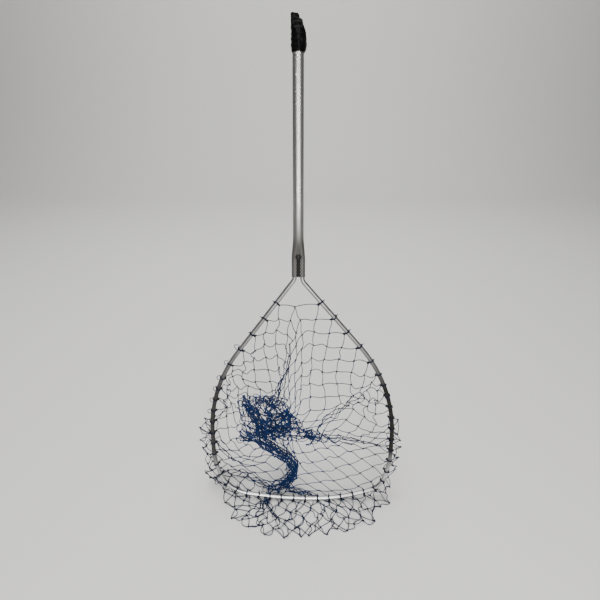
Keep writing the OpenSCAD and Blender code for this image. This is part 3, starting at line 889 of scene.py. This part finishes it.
def column_way(column, pin, rng):
    """[(row, place, pull)] for one column. It ends in the gathered netting, in which `gathered`
    is its first row."""
    way = [(0, pin, 0.0)]

    def to(row, x, y, z, pull, stray=0.0):
        way.append((row, np.array([x, y, z]) + stray * rng.normal(size=3) * (1, 0.3, 1), pull))

    if column < 9:        # left arm and shoulder: open netting, then down into the clump
        for row, pull in ((2, 0.16), (4, 0.16), (6, 0.10)):
            way.append((row, curtain(column, row), pull))
        gathered = 9.0 if column < 5 else 8.0
    elif column < 13:     # left side, low: bulges past the hoop and comes back in behind it
        t = (column - 9) / 3
        to(1.0, pin[0] - 26, pin[1] + 20, pin[2] + 14, 0.2)
        to(2.4, -270, 58, pin[2] + 14, 0.3)
        to(3.8, -252, 84, pin[2] - 24, 0.2)
        to(5.2, -228, 98, 120 - 56 * t, 0.10)
        to(7.0, -192, 92, 84 - 40 * t, 0.06, 3)
        gathered = 10
    elif column < 17:     # left corner: over the floor to the foot of the rope
        t = (column - 13) / 3
        to(1.8, -268 + 30 * t, 56 - 14 * t, 92 - 52 * t, 0.16)
        to(3.4, -256 + 40 * t, 66, 40 - 20 * t, 0.08)
        to(6, -200 + 30 * t, 108 - 24 * t, 8, 0.06, 6)
        to(8, -142 + 14 * t, 84 - 10 * t, 10, 0.06, 6)
        gathered = 10
    elif column < 23:     # bottom bar, left half: out over the floor, then bunched by the bar
        t = (column - 17) / 5
        share = 0.02 + 0.44 * t
        edge = apron_edge(share)
        to(2.1, *(0.5 * (pin + edge) * (1, 1, 0) + (0, 0, 4)), 0.04)
        to(4.2, *edge, 0.25)
        to(6.8, *(FRONT_BUNCH + 0.12 * (edge - FRONT_BUNCH)), 0.14, 6)
        to(8.2, *(FRONT_BUNCH + (8, 14, 6)), 0.2, 6)
        gathered = 9.2
    elif column < 30:     # bottom bar, right half: out over the floor and back behind the bar
        t = (column - 23) / 6
        edge = apron_edge(0.5 + 0.5 * t) + (10 * t * t, 4 * t, 0)
        to(2.1, *(0.5 * (pin + edge) * (1, 1, 0) + (0, 0, 4)), 0.04)
        to(4.2, *edge, 0.25)
        to(6.6, 0.9 * pin[0], pin[1] - 18, 5, 0.08, 5)
        to(8.4, 0.4 * pin[0], 26 + 24 * t, 8, 0.10, 7)
        gathered = 10.2
    elif column < 36:     # right side, low: pulled across to the bunch beside the clump
        t = (column - 30) / 5
        to(1.0, pin[0] + 28, pin[1] + 18, pin[2] - 4, 0.16)
        to(2.4, 288 - 40 * t * t, 52, pin[2] - 12, 0.26)
        to(3.8, 250 - 30 * t, 76, 106 + 56 * t, 0.12)
        to(5.8, 142, 72, 138 + 50 * t, 0.12)
        to(7.4, 88, 68, 160 + 20 * t, 0.18, 3)
        gathered = 9
    elif column < 40:     # right side, high: over a ridge, then into the bunch
        t = (column - 36) / 3
        to(2.2, pin[0] - 22, pin[1] + 18, pin[2] - 24, 0.03)
        to(4.2, 160 - 10 * t, 86, 280 + 14 * t, 0.16)
        to(5.4, 130 - 6 * t, 86, 268 + 6 * t, 0.2, 2)
        to(6.6, 98 - 6 * t, 84, 244 + 6 * t, 0.2, 2)
        to(7.8, 66, 76, 208, 0.2, 3)
        gathered = 8.8
    else:                 # right arm: the open curtain, then the clump's top
        for row, pull in ((2, 0.16), (4, 0.14), (6, 0.08)):
            way.append((row, curtain(column, row), pull))
        i = COLUMNS - 1 - column
        to(7.8, (-34, -30, -6, 26, 58)[i], 94 - 3 * i, 318 - 14 * i, 0.05, 4)
        gathered = 9.4
    return way + gather_way(column, rng, gathered)


def starting_drape():
    """Where the ways put each knot, and how strongly each is held there."""
    rng = np.random.default_rng(11)
    rows = np.arange(BAG_ROWS + 1)
    place = np.zeros((COLUMNS, BAG_ROWS + 1, 3))
    pull = np.zeros((COLUMNS, BAG_ROWS + 1))
    for column in range(COLUMNS):
        way = column_way(column, PINS[column], rng)
        at = [w[0] for w in way]
        place[column] = np.stack([np.interp(rows, at, [w[1][i] for w in way]) for i in range(3)], -1)
        pull[column] = np.interp(rows, at, [w[2] for w in way])
    # above the clump odd rows lie half a mesh along, except where two columns part
    halfway = 0.5 * (place + np.roll(place, -1, 0))
    parted = np.linalg.norm(np.roll(place, -1, 0) - place, axis=-1) > PARTED
    odd = rows % 2 == 1
    use = odd[None] & ~(parted & (rows > 2)[None]) & (rows < 9)[None]
    place = np.where(use[..., None], halfway, place)
    place[-1, 1] = APEX_KNOT
    pull[-1, 1] = 0.25
    pull[-1, 2:5] = 0
    return place, pull


def push_off_hoop(points, line, reach):
    """Moves points that are nearer than reach to the hoop's centreline out to that distance."""
    flat = points.reshape(-1, 3).copy()
    start, step = line[:-1], np.diff(line, axis=0)
    t = np.clip(((flat[:, None] - start) * step).sum(-1) / (step ** 2).sum(1), 0, 1)
    away = flat[:, None] - (start + t[..., None] * step)
    distance = np.sqrt((away ** 2).sum(-1))
    nearest = distance.argmin(1)
    n = np.arange(len(flat))
    gap, away = distance[n, nearest], away[n, nearest]
    close = gap < reach
    flat[close] += away[close] / np.maximum(gap[close], 1e-6)[:, None] * (reach - gap[close])[:, None]
    return flat.reshape(points.shape)


def spread_knots(knots_at):
    """Pushes knots apart that crowd each other."""
    reach, share = 7.0, 0.25
    flat = knots_at.reshape(-1, 3)
    gap2 = ((flat[:, None] - flat[None]) ** 2).sum(-1)
    i, j = np.nonzero((gap2 < reach * reach) & (gap2 > 0))
    i, j = i[i < j], j[i < j]
    away = flat[i] - flat[j]
    gap = np.sqrt((away ** 2).sum(-1)) + 1e-6
    push = (share * (reach - gap) / gap)[:, None] * away
    flat = flat.copy()
    np.add.at(flat, i, 0.5 * push)
    np.add.at(flat, j, -0.5 * push)
    return flat.reshape(knots_at.shape)


def below(row):
    """The column offsets of the two knots that a knot of this row is tied to in the next."""
    return (0, -1) if row % 2 == 0 else (0, 1)


def held_open(gap, least, give):
    """How far each end of a gap moves outwards where the gap is less than its least."""
    length = np.sqrt((gap ** 2).sum(-1)) + 1e-9
    return (0.5 * give * np.maximum(least - length, 0) / length)[..., None] * gap


def drape_bag(hoop):
    """The knots' places after the bag has hung and settled, in floor coordinates."""
    target, pull = starting_drape()
    rng = np.random.default_rng(12)
    at = target + rng.normal(size=target.shape) * 3
    at[:, 0] = PINS
    rows = np.arange(BAG_ROWS + 1)
    # the shortest a bar closes up to, and how much a mesh holds itself open, row by row
    shortest = BAR * np.interp(rows, [0, 5, 8, 18], [0.80, 0.78, 0.66, 0.62])
    spring = np.interp(rows, [0, 5, 9, 14, 18], [0.12, 0.12, 0.06, 0.03, 0.0])
    columns = np.arange(COLUMNS)
    groups = [(np.arange(parity, BAG_ROWS, 2), offset) for parity in (0, 1) for offset in below(parity)]
    before = at.copy()
    steps, passes, fall, drag, fastest = 240, 12, 1.6, 0.88, 6.0
    for step in range(steps):
        speed = (at - before) * drag
        speed *= np.minimum(1, fastest / np.maximum(np.linalg.norm(speed, axis=-1, keepdims=True), 1e-6))
        before = at.copy()
        at = at + speed - (0, 0, fall)
        hold = pull if step < 0.6 * steps else 0.7 * pull
        at += hold[..., None] * (target - at)
        for _ in range(passes):
            for upper, offset in groups:
                lower = np.ix_((columns + offset) % COLUMNS, upper + 1)
                a, b = at[:, upper], at[lower]
                bar = b - a
                length = np.sqrt((bar ** 2).sum(-1)) + 1e-9
                error = np.maximum(length - BAR, 0) - 0.12 * np.maximum(shortest[upper] - length, 0)
                fix = (0.5 * error / length)[..., None] * bar
                free = np.where(upper == 0, 0.0, 1.0)[None, :, None]
                at[:, upper] = a + fix * free
                at[lower] = b - fix * (2 - free)
            at[..., 2] = np.maximum(at[..., 2], FLOOR_CLEAR)
        # a mesh is open across to the next column, and down to the next row but one
        fix = held_open(np.roll(at, -1, 0) - at, MESH_ACROSS, spring)
        at = at - fix + np.roll(fix, 1, 0)
        fix = held_open(at[:, 2:] - at[:, :-2], MESH_DOWN, spring[1:-1])
        at[:, :-2] -= fix
        at[:, 2:] += fix
        if step % 3 == 0:
            at = push_off_hoop(at, hoop, HOOP_R + TWINE_R + 3)
        if step % 8 == 0:
            at = spread_knots(at)
        at[..., 2] = np.maximum(at[..., 2], FLOOR_CLEAR)
        resting = at[..., 2] < FLOOR_CLEAR + 2
        at[resting, :2] = before[resting, :2] + 0.4 * (at[resting, :2] - before[resting, :2])
        at[:, 0] = PINS
    return at


def bar_list():
    """Each bar's upper and lower knot as (column, row) pairs."""
    upper, lower = [], []
    for row in range(BAG_ROWS):
        for column in range(COLUMNS):
            for offset in below(row):
                upper.append((column, row))
                lower.append(((column + offset) % COLUMNS, row + 1))
    return np.array(upper), np.array(lower)


def bar_curves(start, end, segments, rng):
    """Bars of stiff twine: the nearer a bar's knots are, the more it bows, up to a limit."""
    chord = end - start
    gap = np.sqrt((chord ** 2).sum(-1)) + 1e-6
    slack = np.minimum((np.maximum(1.012 * gap, BAR + 0.8) - gap) / gap, 1.2)
    direction = chord / gap[:, None]
    mid = 0.5 * (start + end)
    x, y, z = mid.T
    drift = np.stack([np.sin(x / 23 + z / 31 + 1.3), np.cos(y / 19 - z / 27 + 0.4),
                      np.sin(z / 21 - x / 37) - 0.5], -1)
    lean = drift + 0.7 * rng.normal(size=drift.shape)
    bow = unit(lean - (lean * direction).sum(-1, keepdims=True) * direction)
    across = np.cross(direction, bow)
    single = rng.uniform(0.25, 1, len(gap))
    mix = rng.uniform(-1, 1, len(gap))[:, None]
    wave = across * np.sqrt(1 - mix ** 2) + bow * mix
    one = (np.sqrt(4 * slack * single) / math.pi * gap)[:, None] * bow
    two = (np.sqrt(slack * (1 - single)) / math.pi * gap)[:, None] * wave
    t = np.linspace(0, 1, segments + 1)[None, :, None]
    return (start[:, None] + chord[:, None] * t + np.sin(math.pi * t) * one[:, None]
            + np.sin(2 * math.pi * t) * two[:, None])


BAR_SEGMENTS, BAR_SIDES = 8, 6
# Which columns make up each piece of the bag, above this row and from it down, and the packed
# solids that the piece stands for
GATHER_ROW = 11
BAG_PIECES = {
    "bag_meshes_left_arm": (range(0, 5), ["net_back_panel"]),
    "bag_meshes_left_side": (range(5, 13), ["net_left_sag"]),
    "bag_meshes_left_corner": (range(13, 17), ["net_left_bulge"]),
    "bag_meshes_front_left": (range(17, 23), ["net_front_apron"]),
    "bag_meshes_front_right": (range(23, 30), ["net_front_apron"]),
    "bag_meshes_right_side_low": (range(30, 36), ["net_right_bulge"]),
    "bag_meshes_right_side_high": (range(36, 40), ["net_right_sag"]),
    "bag_meshes_right_arm": (range(40, 45), ["net_back_panel"]),
}
GATHERED_PIECES = {
    "bag_gathered_rope": (range(12, 31), ["net_twisted_tail"]),
    "bag_gathered_clump": ([*range(0, 12), *range(31, 45)], ["net_gathered_folds"]),
}


def make_bag(material):
    """The netting once it has settled, bar by bar and knot by knot, divided into its pieces."""
    hoop = from_net(hoop_line(22.0))
    at = drape_bag(hoop)
    upper, lower = bar_list()
    rng = np.random.default_rng(5)
    curves = bar_curves(at[tuple(upper.T)], at[tuple(lower.T)], BAR_SEGMENTS, rng)
    ends = curves[:, [0, -1]].copy()
    curves = push_off_hoop(curves, hoop, HOOP_R + TWINE_R + 0.3)
    curves[:, 0] = ends[:, 0]
    curves[..., 2] = np.maximum(curves[..., 2], TWINE_R + 0.2)
    # the netting is darkest near the hoop: painted shade for thin strands seen against the bright wall
    # behind them
    deep = np.clip((np.arange(BAG_ROWS + 1) - 4) / 5, 0.12, 1)
    bridge = (upper[:, 1] == 0) & (lower[:, 0] == COLUMNS - 1) & (lower[:, 1] == 1)
    pieces = [("bridge_strand", bridge, [], ["top_bridge_twine"])]
    for table, rows in ((BAG_PIECES, range(0, GATHER_ROW)),
                        (GATHERED_PIECES, range(GATHER_ROW, BAG_ROWS + 1))):
        for name, (columns, nodes) in table.items():
            mine = ~bridge & np.isin(upper[:, 0], list(columns)) & np.isin(upper[:, 1], list(rows))
            pieces.append((name, mine, [(c, r) for c in columns for r in rows if r > 0], nodes))
    for name, bars, knot_ids, nodes in pieces:
        parts = [tubes(curves[bars], TWINE_R, BAR_SIDES)]
        shade = deep[upper[bars, 1]] * rng.uniform(0.35, 1.0, bars.sum())
        parts[0][2]["deep"] = np.repeat(shade, (BAR_SEGMENTS + 1) * BAR_SIDES)
        if knot_ids:
            columns, rows = np.array(knot_ids).T
            parts.append(knots(at[columns, rows], 0.8, rng))
            parts[1][2]["deep"] = np.repeat(deep[rows], KNOT_POINTS * KNOT_SIDES)
        verts, quads, attributes = joined(parts)
        verts[:, 2] = np.maximum(verts[:, 2], 0.05)
        make_piece(name, to_row(verts), quads, material, nodes, attributes)


def dress_plug(material):
    """The plug inside the butt keeps its CAD shape, with a material of its own."""
    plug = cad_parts["butt_plug"]
    plug.data.materials.clear()
    plug.data.materials.append(material)


# ---- Everything ----

make_camera()
make_stage()
make_hoop(tube_metal("hoop_aluminium", (0.60, 0.60, 0.61), (0.38, 0.37, 0.35), 0.24, 0.5))
make_handle(tube_metal("handle_aluminium", (0.72, 0.71, 0.69), (0.50, 0.48, 0.45), 0.19, 0.35))
# the yoke rivet's heads are near black: painted shade of the dimple they sit in
make_yoke_rivet(rivet_material("rivet_painted_shade", (0.06, 0.06, 0.06), (0.02, 0.02, 0.02)))
make_plug_rivet(rivet_material("rivet_bright", (0.72, 0.71, 0.68), (0.4, 0.39, 0.37)))
make_tape(tape_material())
make_hitches(twine_material("twine_hitch", (0.006, 0.010, 0.028), (0.012, 0.024, 0.080)))
make_bag(twine_material("twine_blue", (0.005, 0.010, 0.030), (0.004, 0.042, 0.20)))
dress_plug(plug_material())
